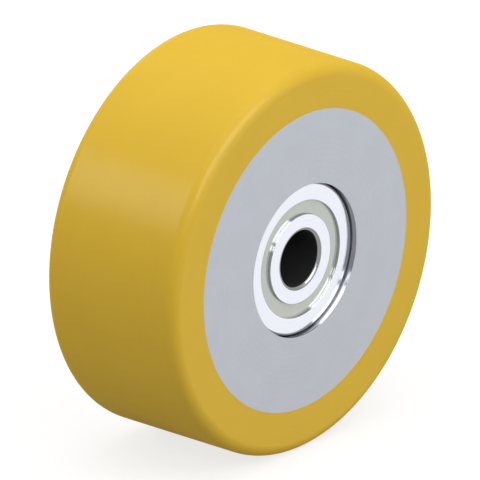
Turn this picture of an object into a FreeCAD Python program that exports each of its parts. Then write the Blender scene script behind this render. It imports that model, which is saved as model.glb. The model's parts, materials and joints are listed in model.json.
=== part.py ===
import FreeCAD, Part

import math
import os

# Pallet truck wheel: a polyurethane tread bonded to a turned steel centre, which runs on two sealed
# ball bearings held apart by a spacer tube.
# Sizes are in millimetres. The axle lies along Y, the origin is the wheel's centre and its front faces -Y.

# Wheel
WHEEL_DIAMETER = 120.0
WHEEL_WIDTH = 50.0
TREAD_THICKNESS = 13.75
TREAD_EDGE_RADIUS = 4.0
BEARING_RECESS = 1.8
SEAT_SHOULDER = 3.0
SEAT_CORNER_RADIUS = 0.6
CENTRE_EDGE_BREAK = 0.3

# Bearing rings
BEARING_BORE = 17.0
BEARING_OUTSIDE = 47.0
BEARING_WIDTH = 14.0
RING_CORNER_RADIUS = 1.0
RING_EDGE_BREAK = 0.2
INNER_SHOULDER_HEIGHT = 2.1
OUTER_SHOULDER_HEIGHT = 2.4

# Balls and raceways
BALL_COUNT = 7
BALL_DIAMETER = 8.731
BALL_CLEARANCE = 0.05
RACEWAY_TO_BALL_RADIUS = 1.04

# Cages, each of two pressed halves with rivets
CAGE_SHEET = 0.5
CAGE_BEND_RADIUS = 0.4
CAGE_SIDE_CLEARANCE = 0.5
POCKET_CLEARANCE = 0.1
RIVET_SHANK_DIAMETER = 1.2
RIVET_HEAD_DIAMETER = 2.2
RIVET_HEAD_HEIGHT = 0.6
RIVET_HOLE_CLEARANCE = 0.03

# Seals, whose depth is a share of the room between the cage and the ring's face
SEAL_THICKNESS = 0.6
SEAL_DEPTH_SHARE = 0.62
SEAL_RIM_REACH = 0.65
SEAL_RIM_CLEARANCE = 0.03
SEAL_LIP_GAP = 0.1
SEAL_LIP_WIDTH = 0.3
SEAL_LIP_HEIGHT = 0.4

# Spacer tube between the inner rings
SPACER_WALL = 3.4
SPACER_BORE_CLEARANCE = 0.1
SPACER_EDGE_BREAK = 0.4

# Radii and depths that follow from the sizes above
HALF_WIDTH = WHEEL_WIDTH / 2
CENTRE_RADIUS = WHEEL_DIAMETER / 2 - TREAD_THICKNESS
SEAT_RADIUS = BEARING_OUTSIDE / 2
SEAT_END = HALF_WIDTH - BEARING_RECESS - BEARING_WIDTH
BEARING_MIDDLE = SEAT_END + BEARING_WIDTH / 2
BORE_RADIUS = BEARING_BORE / 2
HALF_BEARING = BEARING_WIDTH / 2
PITCH_RADIUS = (BORE_RADIUS + SEAT_RADIUS) / 2
BALL_RADIUS = BALL_DIAMETER / 2
RACEWAY_RADIUS = BALL_RADIUS * RACEWAY_TO_BALL_RADIUS
INNER_RACEWAY_FLOOR = PITCH_RADIUS - BALL_RADIUS - BALL_CLEARANCE
OUTER_RACEWAY_FLOOR = PITCH_RADIUS + BALL_RADIUS + BALL_CLEARANCE
INNER_SHOULDER = INNER_RACEWAY_FLOOR + INNER_SHOULDER_HEIGHT
OUTER_SHOULDER = OUTER_RACEWAY_FLOOR - OUTER_SHOULDER_HEIGHT
POCKET_RADIUS = BALL_RADIUS + POCKET_CLEARANCE
CAGE_CROWN = POCKET_RADIUS + CAGE_SHEET
SEAL_OUTER_FACE = HALF_BEARING - (HALF_BEARING - CAGE_CROWN - SEAL_THICKNESS) * SEAL_DEPTH_SHARE
SEAL_INNER_FACE = SEAL_OUTER_FACE - SEAL_THICKNESS
SEAL_RIM = OUTER_SHOULDER + SEAL_RIM_REACH

ORIGIN = FreeCAD.Vector(0, 0, 0)
AXLE = FreeCAD.Vector(0, 1, 0)
UP = FreeCAD.Vector(0, 0, 1)


def rounded_corner(before, corner, after, rounding):
    """The start, middle and end of the arc that rounds one corner of an outline."""
    to_before = (before - corner).normalize()
    to_after = (after - corner).normalize()
    half_angle = to_before.getAngle(to_after) / 2
    inward = (to_before + to_after).normalize()
    centre = corner + inward * (rounding / math.sin(half_angle))
    reach = rounding / math.tan(half_angle)
    return corner + to_before * reach, centre - inward * rounding, corner + to_after * reach


def turned(outline):
    """A ring turned about the axle from its half section.

    Each corner of the section is (radius, y, rounding), and a rounding of 0 leaves it sharp.
    """
    corners = [FreeCAD.Vector(radius, y, 0) for radius, y, _ in outline]
    starts, ends, arcs = [], [], []
    for index, (_, _, rounding) in enumerate(outline):
        corner = corners[index]
        start, end = corner, corner
        if rounding:
            after = corners[(index + 1) % len(corners)]
            start, middle, end = rounded_corner(corners[index - 1], corner, after, rounding)
            arcs.append(Part.Arc(start, middle, end).toShape())
        starts.append(start)
        ends.append(end)
    lines = [Part.LineSegment(ends[index - 1], starts[index]).toShape() for index in range(len(corners))]
    section = Part.Face(Part.Wire(Part.__sortEdges__(lines + arcs)))
    return section.revolve(ORIGIN, AXLE, 360)


def tube(inner_radius, outer_radius, low, high):
    """A plain tube about the axle, from one depth to another."""
    corners = [(inner_radius, low), (outer_radius, low), (outer_radius, high), (inner_radius, high)]
    return turned([(radius, y, 0) for radius, y in corners])


def around_pitch(turn_offset):
    """Points on the pitch circle, one per ball, with the first turned from the top by part of a step."""
    points = []
    for index in range(BALL_COUNT):
        angle = 2 * math.pi * (index + turn_offset) / BALL_COUNT
        points.append(FreeCAD.Vector(PITCH_RADIUS * math.sin(angle), 0, PITCH_RADIUS * math.cos(angle)))
    return points


BALL_CENTRES = around_pitch(0)
RIVET_CENTRES = around_pitch(0.5)


def tread():
    """The polyurethane tyre, flush with the faces of the wheel's centre and rounded at its running edges."""
    radius = WHEEL_DIAMETER / 2
    return turned(
        [
            (CENTRE_RADIUS, -HALF_WIDTH, 0),
            (radius, -HALF_WIDTH, TREAD_EDGE_RADIUS),
            (radius, HALF_WIDTH, TREAD_EDGE_RADIUS),
            (CENTRE_RADIUS, HALF_WIDTH, 0),
        ]
    )


def wheel_centre():
    """The solid turned centre, bored from each side for a bearing, with a shoulder between the seats."""
    through_radius = SEAT_RADIUS - SEAT_SHOULDER
    return turned(
        [
            (CENTRE_RADIUS, -HALF_WIDTH, 0),
            (CENTRE_RADIUS, HALF_WIDTH, 0),
            (SEAT_RADIUS, HALF_WIDTH, CENTRE_EDGE_BREAK),
            (SEAT_RADIUS, SEAT_END, SEAT_CORNER_RADIUS),
            (through_radius, SEAT_END, CENTRE_EDGE_BREAK),
            (through_radius, -SEAT_END, CENTRE_EDGE_BREAK),
            (SEAT_RADIUS, -SEAT_END, SEAT_CORNER_RADIUS),
            (SEAT_RADIUS, -HALF_WIDTH, CENTRE_EDGE_BREAK),
        ]
    )


def spacer_tube():
    """The tube that holds the two inner rings apart, so that the axle nut can clamp them."""
    bore = BORE_RADIUS + SPACER_BORE_CLEARANCE
    outside = bore + SPACER_WALL
    return turned(
        [
            (bore, -SEAT_END, SPACER_EDGE_BREAK),
            (outside, -SEAT_END, SPACER_EDGE_BREAK),
            (outside, SEAT_END, SPACER_EDGE_BREAK),
            (bore, SEAT_END, SPACER_EDGE_BREAK),
        ]
    )


def inner_ring():
    """The ring that the axle carries, with its raceway and two plain lands for the seals' lips."""
    blank = turned(
        [
            (BORE_RADIUS, -HALF_BEARING, RING_CORNER_RADIUS),
            (INNER_SHOULDER, -HALF_BEARING, RING_EDGE_BREAK),
            (INNER_SHOULDER, HALF_BEARING, RING_EDGE_BREAK),
            (BORE_RADIUS, HALF_BEARING, RING_CORNER_RADIUS),
        ]
    )
    return blank.cut(Part.makeTorus(INNER_RACEWAY_FLOOR + RACEWAY_RADIUS, RACEWAY_RADIUS, ORIGIN, AXLE))


def outer_ring():
    """The ring that the wheel's centre holds, with its raceway and a groove behind each face for a seal."""
    groove = SEAL_RIM + SEAL_RIM_CLEARANCE
    groove_start = SEAL_INNER_FACE - SEAL_RIM_CLEARANCE
    groove_end = SEAL_OUTER_FACE + SEAL_RIM_CLEARANCE
    bore_outline = [
        (OUTER_SHOULDER, groove_start, 0),
        (groove, groove_start, 0),
        (groove, groove_end, 0),
        (OUTER_SHOULDER, groove_end, 0),
        (OUTER_SHOULDER, HALF_BEARING, RING_EDGE_BREAK),
    ]
    mirrored = [(radius, -y, rounding) for radius, y, rounding in reversed(bore_outline)]
    outside = [
        (SEAT_RADIUS, HALF_BEARING, RING_CORNER_RADIUS),
        (SEAT_RADIUS, -HALF_BEARING, RING_CORNER_RADIUS),
    ]
    blank = turned(mirrored + bore_outline + outside)
    return blank.cut(Part.makeTorus(OUTER_RACEWAY_FLOOR - RACEWAY_RADIUS, RACEWAY_RADIUS, ORIGIN, AXLE))


def seal():
    """The seal on the +Y side: a flat washer snapped into the outer ring, with a lip beside the inner ring."""
    lip = INNER_SHOULDER + SEAL_LIP_GAP
    return turned(
        [
            (lip, SEAL_OUTER_FACE, 0),
            (SEAL_RIM, SEAL_OUTER_FACE, 0),
            (SEAL_RIM, SEAL_INNER_FACE, 0),
            (lip + SEAL_LIP_WIDTH, SEAL_INNER_FACE, 0),
            (lip + SEAL_LIP_WIDTH, SEAL_INNER_FACE - SEAL_LIP_HEIGHT, 0),
            (lip, SEAL_INNER_FACE - SEAL_LIP_HEIGHT, 0),
        ]
    )


def pocket_form(dome_radius, base, bend_radius):
    """A half ball that rises from a flat plate through a flared foot, turned about the Y axis.

    The ball's middle is the origin, and base is the height of the plate's upper face.
    """
    underside = base - CAGE_SHEET
    foot = math.sqrt((dome_radius + bend_radius) ** 2 - (base + bend_radius) ** 2)
    bend_centre = FreeCAD.Vector(foot, base + bend_radius, 0)
    to_bend = FreeCAD.Vector(bend_centre).normalize()
    between = (to_bend + AXLE).normalize()
    below = FreeCAD.Vector(0, underside, 0)
    foot_below = FreeCAD.Vector(foot, underside, 0)
    foot_edge = FreeCAD.Vector(foot, base, 0)
    dome_edge = to_bend * dome_radius
    dome_top = AXLE * dome_radius
    section = [
        Part.LineSegment(below, foot_below).toShape(),
        Part.LineSegment(foot_below, foot_edge).toShape(),
        Part.Arc(foot_edge, bend_centre - between * bend_radius, dome_edge).toShape(),
        Part.Arc(dome_edge, between * dome_radius, dome_top).toShape(),
        Part.LineSegment(dome_top, below).toShape(),
    ]
    return Part.Face(Part.Wire(section)).revolve(ORIGIN, AXLE, 360)


def cage_half():
    """The cage half on the +Y side: sheet of even thickness, pressed into a round pocket over each ball."""
    inside = INNER_SHOULDER + CAGE_SIDE_CLEARANCE
    outside = OUTER_SHOULDER - CAGE_SIDE_CLEARANCE
    band = tube(inside, outside, 0, CAGE_CROWN)
    flats = tube(inside, outside, 0, CAGE_SHEET)
    upper_side = pocket_form(CAGE_CROWN, CAGE_SHEET, CAGE_BEND_RADIUS)
    under_side = pocket_form(POCKET_RADIUS, 0, CAGE_BEND_RADIUS + CAGE_SHEET)
    domes = [upper_side.translated(centre).common(band) for centre in BALL_CENTRES]
    pockets = [under_side.translated(centre) for centre in BALL_CENTRES]
    hole_radius = RIVET_SHANK_DIAMETER / 2 + RIVET_HOLE_CLEARANCE
    holes = [Part.makeCylinder(hole_radius, CAGE_SHEET, centre, AXLE) for centre in RIVET_CENTRES]
    return flats.fuse(domes).cut(pockets + holes).removeSplitter()


def rivet(centre):
    """One cage rivet: a shank through both flats, with a domed head on each side."""
    head_radius = RIVET_HEAD_DIAMETER / 2
    shank_radius = RIVET_SHANK_DIAMETER / 2
    dome_radius = (head_radius**2 + RIVET_HEAD_HEIGHT**2) / (2 * RIVET_HEAD_HEIGHT)
    dome_centre = CAGE_SHEET + RIVET_HEAD_HEIGHT - dome_radius
    ball = Part.makeSphere(dome_radius, ORIGIN)
    head_room = Part.makeCylinder(head_radius, RIVET_HEAD_HEIGHT, FreeCAD.Vector(0, CAGE_SHEET, 0), AXLE)
    head = ball.translated(FreeCAD.Vector(0, dome_centre, 0)).common(head_room)
    other_head = head.rotated(ORIGIN, UP, 180)
    shank = Part.makeCylinder(shank_radius, 2 * CAGE_SHEET, FreeCAD.Vector(0, -CAGE_SHEET, 0), AXLE)
    return shank.fuse([head, other_head]).removeSplitter().translated(centre)


def bearing():
    """The pieces of one bearing about its own middle, with its outboard side towards +Y."""
    outboard_seal = seal()
    outboard_half = cage_half()
    pieces = {
        "outer_ring": outer_ring(),
        "inner_ring": inner_ring(),
        "outboard_seal": outboard_seal,
        "inboard_seal": outboard_seal.rotated(ORIGIN, UP, 180),
        "cage_outboard_half": outboard_half,
        "cage_inboard_half": outboard_half.rotated(ORIGIN, UP, 180),
        "cage_rivets": Part.makeCompound([rivet(centre) for centre in RIVET_CENTRES]),
    }
    for number, centre in enumerate(BALL_CENTRES, start=1):
        pieces[f"ball_{number}"] = Part.makeSphere(BALL_RADIUS, centre)
    return pieces


def wheel():
    """Every piece of the wheel by name, in its place."""
    pieces = {"tread": tread(), "wheel_centre": wheel_centre(), "spacer_tube": spacer_tube()}
    for name, piece in bearing().items():
        at_back = piece.translated(FreeCAD.Vector(0, BEARING_MIDDLE, 0))
        pieces[f"back_{name}"] = at_back
        pieces[f"front_{name}"] = at_back.rotated(ORIGIN, UP, 180)
    return pieces


def main():
    """Writes one file for each piece."""
    os.makedirs("parts", exist_ok=True)
    for name, piece in wheel().items():
        piece.exportStep(os.path.join("parts", f"{name}.step"))


main()
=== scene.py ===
import json
import logging
import math
from dataclasses import dataclass
from enum import Enum
from typing import Union

import bmesh
import bpy
from mathutils import Matrix, Vector


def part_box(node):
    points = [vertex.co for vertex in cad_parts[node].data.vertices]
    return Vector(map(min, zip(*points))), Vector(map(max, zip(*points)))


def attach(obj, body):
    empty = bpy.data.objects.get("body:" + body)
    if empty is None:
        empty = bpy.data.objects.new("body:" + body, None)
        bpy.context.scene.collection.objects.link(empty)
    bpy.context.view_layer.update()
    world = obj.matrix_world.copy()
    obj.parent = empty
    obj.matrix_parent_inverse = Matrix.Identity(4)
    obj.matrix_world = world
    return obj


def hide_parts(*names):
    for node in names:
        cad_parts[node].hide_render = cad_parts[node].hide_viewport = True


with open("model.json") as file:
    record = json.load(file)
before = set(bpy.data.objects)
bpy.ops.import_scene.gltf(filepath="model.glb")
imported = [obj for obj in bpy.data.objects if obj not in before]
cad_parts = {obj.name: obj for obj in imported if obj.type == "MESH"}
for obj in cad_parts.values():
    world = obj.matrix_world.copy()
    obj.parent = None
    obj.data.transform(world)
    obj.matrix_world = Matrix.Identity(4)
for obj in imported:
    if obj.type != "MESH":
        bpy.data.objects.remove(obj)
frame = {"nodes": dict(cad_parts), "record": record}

# Pallet truck wheel in a plain studio.
# Lengths are in metres, and the axle lies along Y with the front at -Y.

LOG = logging.getLogger("pallet_truck_wheel")
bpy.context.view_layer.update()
MILLIMETRES_PER_METRE = 1000.0

Colour = tuple[float, float, float]
Paint = Union[Colour, bpy.types.NodeSocket]
Range = tuple[float, float]
Settings = dict[str, object]
Inputs = dict[Union[int, str], object]

# How finely the turned meshes are divided, and how much their flat faces lead the shading.
MERGE_DISTANCE = 1e-7
ARC_STEPS = 24
EDGE_STEPS = 6
ROUND_STEPS = 192
LARGE_ROUND_STEPS = 256
FLAT_FACE_WEIGHT = 100

# Most of a noise texture's output lies in this range, which is stretched to run from 0 to 1.
NOISE_RANGE: Range = (0.3, 0.7)
NOISE_MIDDLE = 0.5

# How many finer layers a noise has.
NOISE_LAYERS = 2.0
FINE_NOISE_LAYERS = 3.0

# Keeps what lies across the axle in a place, and drops the depth along it.
ACROSS_AXLE = (1.0, 0.0, 1.0)


def low_corner(node: str) -> Vector:
    """The lowest corner of a CAD node's box at rest."""
    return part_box(node)[0]


def high_corner(node: str) -> Vector:
    """The highest corner of a CAD node's box at rest."""
    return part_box(node)[1]


def mount_radius(name: str) -> float:
    """The radius of one of the record's mounts."""
    found = next(mount for mount in frame["record"]["mounts"] if mount["name"] == name)
    return found["dims"]["r_mm"] / MILLIMETRES_PER_METRE


# Sizes that several pieces share.
# Those of a bearing come from the back one, and the front one mirrors it.
HALF_WIDTH = high_corner("wheel_centre").y
BOND_RADIUS = high_corner("wheel_centre").x
BOND_EDGE = 0.00006
SEAT_RADIUS = high_corner("back_outer_ring").x
SEAT_END = low_corner("back_outer_ring").y
RING_FACE = high_corner("back_outer_ring").y
RING_CORNER = 0.001
BORE_RADIUS = mount_radius("axle_bore")


class NamePart(Enum):
    """A choice whose word is part of the names of pieces."""

    @property
    def label(self) -> str:
        """The word."""
        return self.name.lower()


class Side(NamePart):
    """The two faces of the wheel, by the sign of their depth along the axle."""

    FRONT = -1
    BACK = 1


class SealPlace(NamePart):
    """The two seals of a bearing: 1 looks out of the wheel and -1 into it."""

    OUTBOARD = 1
    INBOARD = -1


class Body(Enum):
    """The bodies that the finished pieces ride on."""

    AXLE_SIDE = "inner_rings"
    WHEEL = "rolling_wheel"


class Slot(Enum):
    """The record's material slots that the new pieces take."""

    TREAD = "tread_polyurethane"
    CENTRE = "centre_steel"
    BEARING = "bearing_steel"
    SEAL = "seal_rubber"
    SPACER = "spacer_steel"


class LampUse(Enum):
    """What a lamp is for: to light every surface, or only to show in the shiny ones."""

    LIGHT = "light"
    REFLECTION = "reflection"


class Value:
    """A number that varies over a surface: a node's output, with arithmetic that adds Math nodes."""

    def __init__(self, graph: "Graph", socket: bpy.types.NodeSocket) -> None:
        """Wraps an output socket, with the graph that new Math nodes go into."""
        self.graph = graph
        self.socket = socket

    def _math(self, operation: str, first: "Number", second: "Number") -> "Value":
        """The result of a new Math node, from its operation and its two operands."""
        return self.graph.value("Math", {"operation": operation}, {0: first, 1: second})

    def __add__(self, other: "Number") -> "Value":
        """This number plus another."""
        return self._math("ADD", self, other)

    def __radd__(self, other: "Number") -> "Value":
        """Another number plus this one."""
        return self._math("ADD", other, self)

    def __sub__(self, other: "Number") -> "Value":
        """This number less another."""
        return self._math("SUBTRACT", self, other)

    def __rsub__(self, other: "Number") -> "Value":
        """Another number less this one."""
        return self._math("SUBTRACT", other, self)

    def __mul__(self, other: "Number") -> "Value":
        """This number times another."""
        return self._math("MULTIPLY", self, other)

    def __rmul__(self, other: "Number") -> "Value":
        """Another number times this one."""
        return self._math("MULTIPLY", other, self)

    def size(self) -> "Value":
        """This number without its sign."""
        return self._math("ABSOLUTE", self, 0.0)

    def largest(self, other: "Number") -> "Value":
        """The larger of this number and another."""
        return self._math("MAXIMUM", self, other)


Number = Union[float, Value]


class Graph:
    """The node tree of a material or a world, with short ways to add what the finishes share."""

    def __init__(self, tree: bpy.types.NodeTree) -> None:
        """Empties the node tree that the graph then fills."""
        self.tree = tree
        tree.nodes.clear()

    def node(self, kind: str, settings: Settings, inputs: Inputs) -> bpy.types.Node:
        """Adds a node of any kind.

        Args:
            kind: the node's type, without the ShaderNode in front.
            settings: the node's own properties, which are set first.
            inputs: a plain value, a Value or a socket for each input, by its name or place.

        Returns:
            The new node.
        """
        made = self.tree.nodes.new("ShaderNode" + kind)
        for name, setting in settings.items():
            setattr(made, name, setting)
        for key, given in inputs.items():
            socket = made.inputs[key] if isinstance(key, int) else self.in_use(made.inputs, key)
            source = given.socket if isinstance(given, Value) else given
            if isinstance(source, bpy.types.NodeSocket):
                self.tree.links.new(source, socket)
            else:
                socket.default_value = source
        return made

    @staticmethod
    def in_use(sockets: bpy.types.bpy_prop_collection, name: str) -> bpy.types.NodeSocket:
        """Finds a socket by name among those that the node's settings leave in use."""
        return next(socket for socket in sockets if socket.enabled and socket.name == name)

    def value(
        self, kind: str, settings: Settings, inputs: Inputs, output: Union[int, str] = 0
    ) -> Value:
        """Adds a node of any kind for the number at one of its outputs, by its name or place."""
        return Value(self, self.node(kind, settings, inputs).outputs[output])

    def place(self) -> bpy.types.NodeSocket:
        """The point on the piece, in the wheel's own frame."""
        return self.node("TexCoord", {}, {}).outputs["Object"]

    def axle_distance(self) -> Value:
        """The distance from the axle's line."""
        flat = self.node("VectorMath", {"operation": "MULTIPLY"}, {0: self.place(), 1: ACROSS_AXLE})
        return self.value("VectorMath", {"operation": "LENGTH"}, {0: flat.outputs["Vector"]}, "Value")

    def depth(self) -> Value:
        """The distance along the axle."""
        return self.value("SeparateXYZ", {}, {"Vector": self.place()}, "Y")

    def facing_axle(self) -> Value:
        """How squarely the surface faces along the axle, from 0 on a cylinder to 1 on a flat face."""
        normal = self.node("NewGeometry", {}, {}).outputs["Normal"]
        return self.value("SeparateXYZ", {}, {"Vector": normal}, "Y").size()

    def noise(self, grain: float, detail: float = NOISE_LAYERS) -> Value:
        """Soft random variation from 0 to 1, with a grain in metres and finer layers."""
        inputs = {"Vector": self.place(), "Scale": 1.0 / grain, "Detail": detail}
        return self.ramp(self.value("TexNoise", {}, inputs, "Fac"), NOISE_RANGE)

    def rings(self, distance: Value, pitch: float, detail: float = NOISE_LAYERS) -> Value:
        """Random tool marks that follow a distance, so that they run round the axle.

        Args:
            distance: the distance that they are spaced along.
            pitch: the width of a mark in metres.
            detail: how many finer layers they have.

        Returns:
            The marks, from 0 to 1.
        """
        along = self.node("CombineXYZ", {}, {"X": distance}).outputs["Vector"]
        inputs = {"Vector": along, "Scale": 1.0 / pitch, "Detail": detail}
        return self.ramp(self.value("TexNoise", {}, inputs, "Fac"), NOISE_RANGE)

    def ramp(self, number: Value, ends: Range) -> Value:
        """A smooth step from 0 to 1, while a number goes from one end of a range to the other."""
        inputs = {"Value": number, "From Min": ends[0], "From Max": ends[1]}
        return self.value("MapRange", {"interpolation_type": "SMOOTHSTEP"}, inputs)

    def blend(self, share: Number, first: Paint, second: Paint) -> bpy.types.NodeSocket:
        """Mixes two colours.

        Args:
            share: how much of the second colour there is.
            first: a colour, or a socket that holds one.
            second: a colour, or a socket that holds one.

        Returns:
            The mixed colour.
        """
        ends = {"A": first, "B": second}
        opaque = {key: (*end, 1.0) if isinstance(end, tuple) else end for key, end in ends.items()}
        mixed = self.node("Mix", {"data_type": "RGBA"}, {"Factor": share, **opaque})
        return self.in_use(mixed.outputs, "Result")

    def bump(self, height: Value, distance: float) -> bpy.types.NodeSocket:
        """The normal of a texture, from its height between 0 and 1 and its depth in metres."""
        made = self.node("Bump", {}, {"Strength": 1.0, "Distance": distance, "Height": height})
        return made.outputs["Normal"]

    def surface(self, inputs: Inputs) -> None:
        """Ends a material in one principled shader, with its inputs by name."""
        shader = self.node("BsdfPrincipled", {}, inputs)
        self.node("OutputMaterial", {}, {"Surface": shader.outputs["BSDF"]})


@dataclass(frozen=True)
class Finish:
    """A finish of one material."""

    name: str

    def material(self) -> bpy.types.Material:
        """Makes the finish as a material, once.

        Returns:
            The material.
        """
        found = bpy.data.materials.get(self.name)
        if found is None:
            found = bpy.data.materials.new(self.name)
            found.use_nodes = True
            self.paint(Graph(found.node_tree))
        return found

    def paint(self, graph: Graph) -> None:
        """Adds the finish's nodes to the material's empty graph."""
        raise NotImplementedError


@dataclass(frozen=True)
class Polyurethane(Finish):
    """Cast yellow polyurethane, turned to size: faint cloudiness, fine rings and a soft shine."""

    name: str = "polyurethane_yellow"
    colour: Colour = (0.807, 0.519, 0.0436)
    deeper_colour: Colour = (0.768, 0.493, 0.0414)
    cloud_size: float = 0.018
    grain_size: float = 0.0011
    ring_pitch: float = 0.0005
    cloud_share: float = 0.5
    ring_share: float = 0.5
    grain_height: float = 0.6
    ring_height: float = 0.4
    roughness: float = 0.5
    roughness_change: float = 0.06
    side_facing: Range = (0.89, 1.0)
    tread_shine: float = 0.065
    side_shine: float = 0.13
    least_shine: float = 0.9
    shine_change: float = 0.2
    skin_index: float = 2.5
    skin_roughness: float = 0.27
    texture_depth: float = 0.000006

    def paint(self, graph: Graph) -> None:
        """Adds the finish's nodes.

        Args:
            graph: the material's empty graph.
        """
        clouds = graph.noise(self.cloud_size, FINE_NOISE_LAYERS)
        grain = graph.noise(self.grain_size)
        marks = graph.rings(graph.axle_distance() + graph.depth(), self.ring_pitch)
        on_side = graph.ramp(graph.facing_axle(), self.side_facing)
        shine = self.tread_shine + (self.side_shine - self.tread_shine) * on_side
        deeper = self.cloud_share * clouds + self.ring_share * marks
        graph.surface(
            {
                "Base Color": graph.blend(deeper, self.colour, self.deeper_colour),
                "Roughness": self.roughness + self.roughness_change * (grain - NOISE_MIDDLE),
                "Specular IOR Level": 0.0,
                "Coat Weight": shine * (self.least_shine + self.shine_change * grain),
                "Coat IOR": self.skin_index,
                "Coat Roughness": self.skin_roughness,
                "Normal": graph.bump(
                    self.grain_height * grain + self.ring_height * marks, self.texture_depth
                ),
            }
        )


@dataclass(frozen=True)
class TurnedCentre(Finish):
    """Satin grey steel faces with faint turning rings, and bearing seats whose steel colour is
    darkened as painted shade.
    """

    name: str = "centre_satin_grey"
    face_colour: Colour = (0.561, 0.589, 0.641)
    face_shade: Colour = (0.507, 0.533, 0.581)
    # Painted shade: the seats' dark steel colour darkens the recess and what its walls reflect.
    seat_painted_shade_colour: Colour = (0.225, 0.23, 0.243)
    seat_radius: float = SEAT_RADIUS
    seat_blend: float = 0.00005
    cloud_size: float = 0.009
    grain_size: float = 0.0004
    ring_pitch: float = 0.0004
    cloud_share: float = 0.25
    grain_share: float = 0.25
    ring_share: float = 0.5
    ring_height: float = 0.5
    grain_height: float = 0.5
    face_roughness: float = 0.62
    seat_roughness: float = 0.12
    roughness_change: float = 0.06
    face_metal: float = 0.15
    texture_depth: float = 0.000004

    def paint(self, graph: Graph) -> None:
        """Adds the finish's nodes.

        Args:
            graph: the material's empty graph.
        """
        distance = graph.axle_distance()
        on_face = graph.ramp(distance, (self.seat_radius, self.seat_radius + self.seat_blend))
        marks = graph.rings(distance + graph.depth(), self.ring_pitch)
        grain = graph.noise(self.grain_size)
        clouds = graph.noise(self.cloud_size)
        shade = self.cloud_share * clouds + self.grain_share * grain + self.ring_share * marks
        face = graph.blend(shade, self.face_colour, self.face_shade)
        rough = self.seat_roughness + (self.face_roughness - self.seat_roughness) * on_face
        # The seats take the painted-shade colour, which darkens the recess.
        graph.surface(
            {
                "Base Color": graph.blend(on_face, self.seat_painted_shade_colour, face),
                "Metallic": 1.0 - (1.0 - self.face_metal) * on_face,
                "Roughness": rough + self.roughness_change * (marks - NOISE_MIDDLE),
                "Normal": graph.bump(
                    self.ring_height * marks + self.grain_height * grain, self.texture_depth
                ),
            }
        )


@dataclass(frozen=True)
class BearingSteel(Finish):
    """Hardened bearing steel: bright ground faces and outer corners, and a bore painted near black as
    shade.

    The shoulders and the rounded edge of the bore are darker than the faces, as painted shade for dark
    reflections.
    """

    name: str = "bearing_ground_steel"
    face_colour: Colour = (0.835, 0.856, 0.922)
    face_shade: Colour = (0.785, 0.804, 0.868)
    corner_colour: Colour = (0.8, 0.8, 0.832)
    # Painted shade: the shoulder, bore-edge and bore colours darken the walls, the rim and the bore.
    shoulder_painted_shade_colour: Colour = (0.42, 0.426, 0.443)
    bore_edge_painted_shade_colour: Colour = (0.25, 0.253, 0.262)
    bore_painted_shade_colour: Colour = (0.012, 0.012, 0.0125)
    face_facing: Range = (0.98, 0.9995)
    bore_radius: float = BORE_RADIUS
    bore_blend: float = 0.0001
    outside_radius: float = SEAT_RADIUS
    corner_radius: float = RING_CORNER
    corner_blend: float = 0.001
    rim_width: float = 0.00015
    rim_blend: float = 0.00005
    ring_pitch: float = 0.00025
    face_roughness: float = 0.16
    corner_roughness: float = 0.1
    bore_roughness: float = 0.5
    roughness_change: float = 0.08
    texture_depth: float = 0.0000015

    def paint(self, graph: Graph) -> None:
        """Adds the finish's nodes.

        Args:
            graph: the material's empty graph.
        """
        distance = graph.axle_distance()
        inner_corner = self.bore_radius + self.corner_radius
        outer_corner = self.outside_radius - self.corner_radius
        on_face = graph.ramp(graph.facing_axle(), self.face_facing)
        past_bore = graph.ramp(distance, (self.bore_radius, self.bore_radius + self.bore_blend))
        past_corner = graph.ramp(distance, (inner_corner, inner_corner + self.corner_blend))
        at_outside = graph.ramp(distance, (outer_corner - self.corner_blend, outer_corner))
        marks = graph.rings(distance + graph.depth(), self.ring_pitch, FINE_NOISE_LAYERS)
        # The walls and the rim round the bore take the painted-shade colours.
        wall_with_painted_shade = graph.blend(past_corner, self.bore_edge_painted_shade_colour, self.shoulder_painted_shade_colour)
        wall_with_painted_shade = graph.blend(at_outside, wall_with_painted_shade, self.corner_colour)
        face = graph.blend(marks, self.face_colour, self.face_shade)
        rim_end = inner_corner + self.rim_width
        past_rim = graph.ramp(distance, (rim_end - self.rim_blend, rim_end))
        steel = graph.blend(past_rim, self.bore_edge_painted_shade_colour, graph.blend(on_face, wall_with_painted_shade, face))
        rough = self.corner_roughness + (self.face_roughness - self.corner_roughness) * on_face
        rough = rough + self.roughness_change * (marks - NOISE_MIDDLE)
        # The bore takes its near-black painted-shade colour.
        graph.surface(
            {
                "Base Color": graph.blend(past_bore, self.bore_painted_shade_colour, steel),
                "Metallic": past_bore,
                "Roughness": self.bore_roughness + (rough - self.bore_roughness) * past_bore,
                "Normal": graph.bump(marks, self.texture_depth),
            }
        )


@dataclass(frozen=True)
class SmoothSeal(Finish):
    """Pale grey-green seal with a smooth skin, a faint grain and a sheen that is half metallic."""

    name: str = "seal_pale_smooth"
    colour: Colour = (0.563, 0.591, 0.544)
    shade: Colour = (0.521, 0.547, 0.504)
    sheen: float = 0.5
    cloud_size: float = 0.003
    grain_size: float = 0.00025
    cloud_share: float = 0.5
    grain_share: float = 0.5
    roughness: float = 0.12
    roughness_change: float = 0.06
    texture_depth: float = 0.000002

    def paint(self, graph: Graph) -> None:
        """Adds the finish's nodes.

        Args:
            graph: the material's empty graph.
        """
        grain = graph.noise(self.grain_size)
        clouds = graph.noise(self.cloud_size, FINE_NOISE_LAYERS)
        shaded = self.cloud_share * clouds + self.grain_share * grain
        graph.surface(
            {
                "Base Color": graph.blend(shaded, self.colour, self.shade),
                "Roughness": self.roughness + self.roughness_change * (grain - NOISE_MIDDLE),
                "Metallic": self.sheen,
                "Normal": graph.bump(grain, self.texture_depth),
            }
        )


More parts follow.
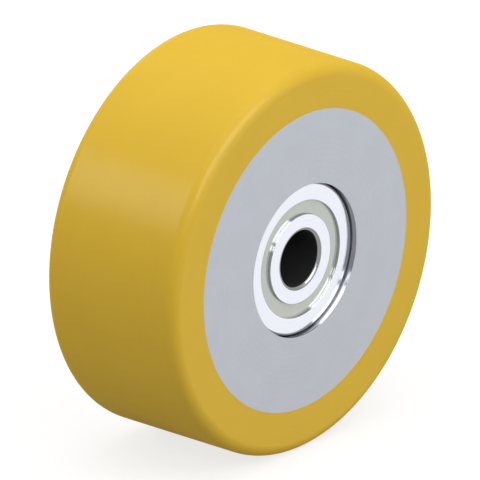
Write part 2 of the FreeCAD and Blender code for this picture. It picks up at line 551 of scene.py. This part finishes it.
@dataclass(frozen=True)
class SpacerShadeBlack(Finish):
    """Steel painted near black as the shade inside the bore, with a slight mottle."""

    name: str = "spacer_painted_shade_black"
    # Painted shade: the near-black colour stands in for the dark inside of the bore.
    colour: Colour = (0.008, 0.008, 0.009)
    worn_colour: Colour = (0.02, 0.02, 0.021)
    cloud_size: float = 0.002
    ring_pitch: float = 0.0003
    roughness: float = 0.45
    roughness_change: float = 0.15
    texture_depth: float = 0.000003

    def paint(self, graph: Graph) -> None:
        """Adds the finish's nodes.

        Args:
            graph: the material's empty graph.
        """
        clouds = graph.noise(self.cloud_size, FINE_NOISE_LAYERS)
        marks = graph.rings(graph.axle_distance() + graph.depth(), self.ring_pitch)
        graph.surface(
            {
                "Base Color": graph.blend(clouds, self.colour, self.worn_colour),
                "Roughness": self.roughness + self.roughness_change * (clouds - NOISE_MIDDLE),
                "Normal": graph.bump(marks, self.texture_depth),
            }
        )


@dataclass(frozen=True)
class HiddenSteel(Finish):
    """Bright steel of the balls, cages and rivets, with a light oil film that varies its shine."""

    colour: Colour = (0.78, 0.79, 0.82)
    shade: Colour = (0.7, 0.71, 0.74)
    cloud_size: float = 0.002
    roughness: float = 0.1
    roughness_change: float = 0.1
    texture_depth: float = 0.000002

    def paint(self, graph: Graph) -> None:
        """Adds the finish's nodes.

        Args:
            graph: the material's empty graph.
        """
        clouds = graph.noise(self.cloud_size, FINE_NOISE_LAYERS)
        graph.surface(
            {
                "Base Color": graph.blend(clouds, self.colour, self.shade),
                "Metallic": 1.0,
                "Roughness": self.roughness + self.roughness_change * clouds,
                "Normal": graph.bump(clouds, self.texture_depth),
            }
        )


class SectionPen:
    """Draws the half section of a turned piece and turns it about the axle.

    The section lies in the plane of X, the distance from the axle, and Y, the depth along it.
    """

    def __init__(self, radius: float, depth: float, rounding: float = 0.0) -> None:
        """Sets the pen down at the first corner.

        Args:
            radius: the corner's distance from the axle.
            depth: the corner's depth along the axle.
            rounding: the radius that its edge is rounded to, or 0 for a sharp one.
        """
        self.mesh = bmesh.new()
        self.first = bmesh.ops.create_vert(self.mesh, co=(radius, depth, 0.0))["vert"][0]
        self.last = self.first
        self.roundings: list[tuple[bmesh.types.BMVert, float]] = []
        self._note(self.first, rounding)

    def _note(self, corner: bmesh.types.BMVert, rounding: float) -> None:
        """Remembers a corner that is rounded later."""
        if rounding:
            self.roundings.append((corner, rounding))

    def line(self, radius: float, depth: float, rounding: float = 0.0) -> "SectionPen":
        """Draws a straight line to the next corner.

        Args:
            radius: the corner's distance from the axle.
            depth: the corner's depth along the axle.
            rounding: the radius that its edge is rounded to, or 0 for a sharp one.

        Returns:
            The pen.
        """
        self.last = bmesh.ops.extrude_vert_indiv(self.mesh, verts=[self.last])["verts"][0]
        self.last.co = (radius, depth, 0.0)
        self._note(self.last, rounding)
        return self

    def arc(self, radius: float, depth: float, turn: float, steps: int = ARC_STEPS) -> "SectionPen":
        """Draws an arc about a centre.

        Args:
            radius: the centre's distance from the axle.
            depth: the centre's depth along the axle.
            turn: the angle in radians, positive from the axle's distance towards its depth.
            steps: the number of short edges in the arc.

        Returns:
            The pen.
        """
        made = bmesh.ops.spin(
            self.mesh,
            geom=[self.last],
            cent=(radius, depth, 0.0),
            axis=(0.0, 0.0, 1.0),
            angle=turn,
            steps=steps,
        )
        self.last = made["geom_last"][0]
        return self

    def turn(
        self, name: str, rounding_steps: int = EDGE_STEPS, steps: int = ROUND_STEPS
    ) -> bpy.types.Object:
        """Closes and rounds the section, and turns it a full turn about the axle.

        Args:
            name: the piece's name.
            rounding_steps: the number of faces across a rounded edge.
            steps: the number of faces round the axle.

        Returns:
            The piece, linked to the scene.
        """
        self.mesh.edges.new((self.last, self.first))
        for corner, rounding in self.roundings:
            bmesh.ops.bevel(
                self.mesh,
                geom=[corner],
                offset=rounding,
                offset_type="OFFSET",
                segments=rounding_steps,
                profile=0.5,
                affect="VERTICES",
                material=-1,
            )
        bmesh.ops.spin(
            self.mesh,
            geom=self.mesh.verts[:] + self.mesh.edges[:],
            cent=(0.0, 0.0, 0.0),
            axis=(0.0, 1.0, 0.0),
            angle=math.tau,
            steps=steps,
            use_merge=True,
        )
        bmesh.ops.remove_doubles(self.mesh, verts=self.mesh.verts[:], dist=MERGE_DISTANCE)
        bmesh.ops.recalc_face_normals(self.mesh, faces=self.mesh.faces[:])
        for face in self.mesh.faces:
            face.smooth = True
        return finished_object(name, self.mesh)


def finished_object(name: str, mesh: bmesh.types.BMesh) -> bpy.types.Object:
    """Makes an object of a mesh, shaded so that small roundings run smoothly into their flats.

    Args:
        name: the object's name.
        mesh: the mesh, which is freed.

    Returns:
        The object, linked to the scene.
    """
    data = bpy.data.meshes.new(name)
    mesh.to_mesh(data)
    mesh.free()
    made = bpy.data.objects.new(name, data)
    bpy.context.scene.collection.objects.link(made)
    shading = made.modifiers.new("flat_shading", "WEIGHTED_NORMAL")
    shading.mode = "FACE_AREA"
    shading.weight = FLAT_FACE_WEIGHT
    return made


def fit(piece: bpy.types.Object, node: str, body: Body, finish: Finish) -> None:
    """Dresses a piece and puts it in the place of its CAD node.

    Args:
        piece: the finished piece.
        node: the CAD node that it stands for.
        body: the body that it rides on.
        finish: the piece's finish.
    """
    piece.data.materials.append(finish.material())
    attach(piece, body.value)
    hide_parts(node)
    LOG.info("%s stands for %s, with %d faces", piece.name, node, len(piece.data.polygons))


@dataclass
class Tread:
    """The polyurethane tyre."""

    radius: float = high_corner("tread").x
    bond_radius: float = BOND_RADIUS
    half_width: float = HALF_WIDTH
    edge_radius: float = 0.004
    edge_steps: int = 16
    bond_edge: float = BOND_EDGE
    finish: Finish = Polyurethane()

    def build(self) -> None:
        """Makes the tyre and fits it."""
        pen = SectionPen(self.bond_radius, -self.half_width, self.bond_edge)
        pen.line(self.radius, -self.half_width, self.edge_radius)
        pen.line(self.radius, self.half_width, self.edge_radius)
        pen.line(self.bond_radius, self.half_width, self.bond_edge)
        tyre = pen.turn("tread_tyre", self.edge_steps, LARGE_ROUND_STEPS)
        fit(tyre, "tread", Body.WHEEL, self.finish)


@dataclass
class WheelCentre:
    """The solid turned centre with a bearing seat in each face."""

    radius: float = BOND_RADIUS
    half_width: float = HALF_WIDTH
    seat_radius: float = SEAT_RADIUS
    seat_end: float = SEAT_END
    seat_shoulder: float = 0.003
    seat_corner: float = 0.0006
    edge_break: float = 0.0001
    bond_edge: float = BOND_EDGE
    finish: Finish = TurnedCentre()

    def build(self) -> None:
        """Makes the centre and fits it."""
        through_radius = self.seat_radius - self.seat_shoulder
        pen = SectionPen(self.radius, -self.half_width, self.bond_edge)
        pen.line(self.radius, self.half_width, self.bond_edge)
        pen.line(self.seat_radius, self.half_width, self.edge_break)
        pen.line(self.seat_radius, self.seat_end, self.seat_corner)
        pen.line(through_radius, self.seat_end, self.edge_break)
        pen.line(through_radius, -self.seat_end, self.edge_break)
        pen.line(self.seat_radius, -self.seat_end, self.seat_corner)
        pen.line(self.seat_radius, -self.half_width, self.edge_break)
        disc = pen.turn("wheel_centre_disc", steps=LARGE_ROUND_STEPS)
        fit(disc, "wheel_centre", Body.WHEEL, self.finish)


@dataclass
class SpacerTube:
    """The tube between the inner rings."""

    radius: float = high_corner("spacer_tube").x
    half_length: float = high_corner("spacer_tube").y
    axle_bore: float = BORE_RADIUS
    bore_clearance: float = 0.0001
    edge_break: float = 0.0004
    finish: Finish = SpacerShadeBlack()

    def build(self) -> None:
        """Makes the tube and fits it."""
        bore = self.axle_bore + self.bore_clearance
        pen = SectionPen(bore, -self.half_length, self.edge_break)
        pen.line(self.radius, -self.half_length, self.edge_break)
        pen.line(self.radius, self.half_length, self.edge_break)
        pen.line(bore, self.half_length, self.edge_break)
        fit(pen.turn("spacer_sleeve"), "spacer_tube", Body.AXLE_SIDE, self.finish)


@dataclass
class BallBearing:
    """One sealed ball bearing: rings and seals made anew, and the pieces inside dressed as they are.

    The first ball lies straight above the axle, so the heights of its box are the radii that it spans.
    """

    side: Side
    inner_face: float = SEAT_END
    outer_face: float = RING_FACE
    bore_radius: float = BORE_RADIUS
    outside_radius: float = SEAT_RADIUS
    corner_radius: float = RING_CORNER
    edge_break: float = 0.0001
    fine_edge: float = 0.00005
    inner_shoulder: float = high_corner("back_inner_ring").x
    outer_shoulder_height: float = 0.0024
    ball_low: float = low_corner("back_ball_1").z
    ball_high: float = high_corner("back_ball_1").z
    ball_clearance: float = 0.00005
    raceway_to_ball: float = 1.04
    seal_rim: float = high_corner("back_outboard_seal").x
    seal_face: float = high_corner("back_outboard_seal").y
    seal_lip_end: float = low_corner("back_outboard_seal").y
    seal_thickness: float = 0.0006
    seal_rim_clearance: float = 0.00003
    seal_lip_gap: float = 0.00003
    seal_lip_width: float = 0.0003
    seal_edge_steps: int = 4
    steel: Finish = BearingSteel()
    seal_skin: Finish = SmoothSeal()
    ball_steel: Finish = HiddenSteel("ball_polished_steel", roughness=0.04, roughness_change=0.05)
    cage_steel: Finish = HiddenSteel(
        "cage_pressed_steel", colour=(0.56, 0.56, 0.57), shade=(0.47, 0.47, 0.48), roughness=0.3
    )

    @property
    def middle(self) -> float:
        """The distance of the bearing's middle from the wheel's."""
        return (self.inner_face + self.outer_face) / 2

    @property
    def half_width(self) -> float:
        """Half the width of the rings."""
        return (self.outer_face - self.inner_face) / 2

    @property
    def raceway_radius(self) -> float:
        """The radius of the grooves that the balls run in, seen in section."""
        return self.raceway_to_ball * (self.ball_high - self.ball_low) / 2

    @property
    def seal_outer_face(self) -> float:
        """The distance of a seal's outer face from the bearing's middle."""
        return self.seal_face - self.middle

    @property
    def seal_inner_face(self) -> float:
        """The distance of a seal's inner face from the bearing's middle."""
        return self.seal_outer_face - self.seal_thickness

    def build(self) -> None:
        """Makes the bearing's rings and seals and dresses its balls, cage and rivets."""
        self._inner_ring()
        self._outer_ring()
        for place in SealPlace:
            self._seal(place)
        self._dress("ball", self.ball_steel)
        self._dress("cage", self.cage_steel)

    def _at(self, depth: float) -> float:
        """A depth from the bearing's middle as a depth along the axle."""
        return self.side.value * self.middle + depth

    def _inner_ring(self) -> None:
        """Makes the inner ring, with its raceway, and fits it."""
        centre = self.ball_low - self.ball_clearance + self.raceway_radius
        groove = math.acos((centre - self.inner_shoulder) / self.raceway_radius)
        edge = self.raceway_radius * math.sin(groove)
        pen = SectionPen(self.bore_radius, self._at(-self.half_width), self.corner_radius)
        pen.line(self.bore_radius, self._at(self.half_width), self.corner_radius)
        pen.line(self.inner_shoulder, self._at(self.half_width), self.edge_break)
        pen.line(self.inner_shoulder, self._at(edge))
        pen.arc(centre, self._at(0.0), 2 * groove)
        pen.line(self.inner_shoulder, self._at(-self.half_width), self.edge_break)
        node = f"{self.side.label}_inner_ring"
        fit(pen.turn(f"{node}_ground"), node, Body.AXLE_SIDE, self.steel)

    def _outer_ring(self) -> None:
        """Makes the outer ring, with its raceway and seal grooves, and fits it."""
        raceway_floor = self.ball_high + self.ball_clearance
        centre = raceway_floor - self.raceway_radius
        shoulder = raceway_floor - self.outer_shoulder_height
        raceway = math.acos((shoulder - centre) / self.raceway_radius)
        edge = self.raceway_radius * math.sin(raceway)
        groove = self.seal_rim + self.seal_rim_clearance
        groove_outer = self.seal_outer_face + self.seal_rim_clearance
        groove_inner = self.seal_inner_face - self.seal_rim_clearance
        pen = SectionPen(self.outside_radius, self._at(-self.half_width), self.corner_radius)
        pen.line(self.outside_radius, self._at(self.half_width), self.corner_radius)
        pen.line(shoulder, self._at(self.half_width), self.edge_break)
        pen.line(shoulder, self._at(groove_outer), self.fine_edge)
        pen.line(groove, self._at(groove_outer))
        pen.line(groove, self._at(groove_inner))
        pen.line(shoulder, self._at(groove_inner), self.fine_edge)
        pen.line(shoulder, self._at(edge))
        pen.arc(centre, self._at(0.0), -2 * raceway)
        pen.line(shoulder, self._at(-groove_inner), self.fine_edge)
        pen.line(groove, self._at(-groove_inner))
        pen.line(groove, self._at(-groove_outer))
        pen.line(shoulder, self._at(-groove_outer), self.fine_edge)
        pen.line(shoulder, self._at(-self.half_width), self.edge_break)
        node = f"{self.side.label}_outer_ring"
        fit(pen.turn(f"{node}_ground"), node, Body.WHEEL, self.steel)

    def _seal(self, place: SealPlace) -> None:
        """Makes one seal and fits it.

        Args:
            place: which of the bearing's seals it is.
        """
        outward = self.side.value * place.value
        lip = self.inner_shoulder + self.seal_lip_gap
        lip_end = self.seal_lip_end - self.middle
        pen = SectionPen(lip, self._at(outward * self.seal_outer_face), self.fine_edge)
        pen.line(self.seal_rim, self._at(outward * self.seal_outer_face), self.fine_edge)
        pen.line(self.seal_rim, self._at(outward * self.seal_inner_face), self.fine_edge)
        pen.line(lip + self.seal_lip_width, self._at(outward * self.seal_inner_face), self.fine_edge)
        pen.line(lip + self.seal_lip_width, self._at(outward * lip_end), self.fine_edge)
        pen.line(lip, self._at(outward * lip_end), self.fine_edge)
        node = f"{self.side.label}_{place.label}_seal"
        seal = pen.turn(f"{node}_moulded", self.seal_edge_steps)
        fit(seal, node, Body.WHEEL, self.seal_skin)

    def _dress(self, word: str, finish: Finish) -> None:
        """Gives a finish to the bearing's CAD pieces of one kind.

        Args:
            word: the word in their names after the side's.
            finish: the finish that they get.
        """
        for name, node in frame["nodes"].items():
            if name.startswith(f"{self.side.label}_{word}_"):
                node.data.materials.clear()
                node.data.materials.append(finish.material())
                LOG.info("%s is dressed as %s", name, finish.name)


@dataclass(frozen=True)
class Softbox:
    """A rectangular lamp that looks at the wheel's centre.

    Its angle is in degrees round the axle, from the right towards the top.
    Its lean is in degrees towards the front.
    """

    name: str
    angle: float
    lean: float
    width: float
    height: float
    level: float
    use: LampUse = LampUse.LIGHT
    distance: float = 1.75

    def build(self) -> None:
        """Makes the lamp, whose level is the light that it gives a surface that faces it."""
        data = bpy.data.lights.new(self.name, "AREA")
        data.shape = "RECTANGLE"
        data.size = self.width
        data.size_y = self.height
        data.energy = self.level * (math.pi * self.distance) ** 2
        lamp = bpy.data.objects.new(self.name, data)
        angle = math.radians(self.angle)
        lean = math.radians(self.lean)
        round_axle = Vector((-math.sin(angle), 0.0, math.cos(angle)))
        outward = math.cos(lean)
        towards = Vector((outward * math.cos(angle), -math.sin(lean), outward * math.sin(angle)))
        lamp.rotation_mode = "QUATERNION"
        axes = Matrix((round_axle, towards.cross(round_axle), towards))
        lamp.rotation_quaternion = axes.transposed().to_quaternion()
        lamp.location = towards * self.distance
        lamp.visible_camera = False
        lamp.visible_diffuse = self.use is LampUse.LIGHT
        bpy.context.scene.collection.objects.link(lamp)


@dataclass
class Studio:
    """The plain white studio: floor, lamps, even light all round, and the camera.

    The floor has one glow and shade as the camera and reflections see it, and another for the light
    that it gives the wheel.
    """

    floor_height: float = low_corner("tread").z
    floor_radius: float = 3.0
    floor_segments: int = 96
    seen_glow: float = 0.75
    seen_shade: float = 0.3
    given_glow: float = 0.12
    given_shade: float = 0.3
    ambient: float = 0.32
    camera_azimuth: float = math.radians(-49.92)
    camera_elevation: float = math.radians(22.05)
    camera_distance: float = 1.0
    view_width: float = 0.1411
    lamps: tuple[Softbox, ...] = (
        Softbox("overhead_softbox", angle=92.0, lean=-6.0, width=2.0, height=2.0, level=0.48),
        Softbox("right_fill", angle=40.0, lean=0.0, width=1.25, height=1.25, level=0.07),
        Softbox("back_fill", angle=40.0, lean=-60.0, width=1.25, height=1.25, level=0.3),
        Softbox("front_fill", angle=45.0, lean=65.0, width=1.25, height=1.25, level=0.23),
        Softbox("back_left_softbox", angle=144.0, lean=-36.7, width=0.625, height=0.625, level=0.2),
        Softbox("key_softbox", angle=98.0, lean=44.0, width=1.75, height=1.25, level=0.38),
        Softbox(
            "recess_card",
            angle=98.0,
            lean=49.0,
            width=1.85,
            height=1.0,
            level=0.85,
            use=LampUse.REFLECTION,
        ),
        Softbox(
            "left_card",
            angle=148.0,
            lean=36.0,
            width=0.35,
            height=0.3,
            level=0.055,
            use=LampUse.REFLECTION,
        ),
        Softbox(
            "sheen_card",
            angle=144.0,
            lean=-36.7,
            width=0.625,
            height=0.625,
            level=0.07,
            use=LampUse.REFLECTION,
        ),
    )

    def build(self) -> None:
        """Makes the studio."""
        self._floor()
        self._world()
        self._camera()
        for lamp in self.lamps:
            lamp.build()
        bpy.context.scene.view_settings.view_transform = "Standard"

    @staticmethod
    def _seen(graph: Graph) -> Value:
        """Tells what is seen from the light that it bounces.

        Args:
            graph: the graph of what may be seen.

        Returns:
            1 to the camera, a reflection or a transmission, and 0 to other light.
        """
        path = graph.node("LightPath", {}, {})
        seen = Value(graph, path.outputs["Is Camera Ray"])
        for ray in ("Is Glossy Ray", "Is Transmission Ray"):
            seen = seen.largest(Value(graph, path.outputs[ray]))
        return seen

    @staticmethod
    def _glowing_white(graph: Graph, glow: float, shade: float) -> bpy.types.NodeSocket:
        """Adds a white that shows shadows only in part.

        Args:
            graph: the floor's graph.
            glow: the brightness that it has without light.
            shade: how much of the light that falls on it is given back.

        Returns:
            The shader.
        """
        own = graph.node("Emission", {}, {"Strength": glow})
        lit = graph.node("BsdfDiffuse", {}, {"Color": (shade, shade, shade, 1.0)})
        both = graph.node("AddShader", {}, {0: own.outputs["Emission"], 1: lit.outputs["BSDF"]})
        return both.outputs["Shader"]

    def _floor(self) -> None:
        """Makes the white floor, which keeps the wheel's shadow."""
        mesh = bmesh.new()
        bmesh.ops.create_circle(
            mesh, cap_ends=True, segments=self.floor_segments, radius=self.floor_radius
        )
        bmesh.ops.translate(mesh, verts=mesh.verts[:], vec=(0.0, 0.0, self.floor_height))
        data = bpy.data.meshes.new("studio_floor")
        mesh.to_mesh(data)
        mesh.free()
        floor = bpy.data.objects.new("studio_floor", data)
        bpy.context.scene.collection.objects.link(floor)
        paint = bpy.data.materials.new("floor_white")
        paint.use_nodes = True
        graph = Graph(paint.node_tree)
        given = self._glowing_white(graph, self.given_glow, self.given_shade)
        white = self._glowing_white(graph, self.seen_glow, self.seen_shade)
        mixed = graph.node("MixShader", {}, {0: self._seen(graph), 1: given, 2: white})
        graph.node("OutputMaterial", {}, {"Surface": mixed.outputs["Shader"]})
        floor.data.materials.append(paint)

    def _world(self) -> None:
        """Makes the even light all round, which is white where it is seen."""
        world = bpy.data.worlds.new("studio_world")
        world.use_nodes = True
        bpy.context.scene.world = world
        graph = Graph(world.node_tree)
        even = graph.node("Background", {}, {"Strength": self.ambient})
        white = graph.node("Background", {}, {"Color": (1.0, 1.0, 1.0, 1.0), "Strength": 1.0})
        shaders = {1: even.outputs["Background"], 2: white.outputs["Background"]}
        mixed = graph.node("MixShader", {}, {0: self._seen(graph), **shaders})
        graph.node("OutputWorld", {}, {"Surface": mixed.outputs["Shader"]})

    def _camera(self) -> None:
        """Makes the camera, which looks at the wheel's centre without perspective."""
        data = bpy.data.cameras.new("studio_camera")
        data.type = "ORTHO"
        data.ortho_scale = self.view_width
        camera = bpy.data.objects.new("studio_camera", data)
        level = math.cos(self.camera_elevation)
        back = Vector(
            (
                math.sin(self.camera_azimuth) * level,
                -math.cos(self.camera_azimuth) * level,
                math.sin(self.camera_elevation),
            )
        )
        camera.location = back * self.camera_distance
        camera.rotation_mode = "QUATERNION"
        camera.rotation_quaternion = back.to_track_quat("Z", "Y")
        bpy.context.scene.collection.objects.link(camera)
        bpy.context.scene.camera = camera


def main() -> None:
    """Builds the wheel and its studio, and reports each piece."""
    logging.basicConfig(level=logging.INFO, format="%(name)s: %(message)s")
    Tread().build()
    WheelCentre().build()
    SpacerTube().build()
    for side in Side:
        BallBearing(side).build()
    Studio().build()


if __name__ == "__main__":
    main()
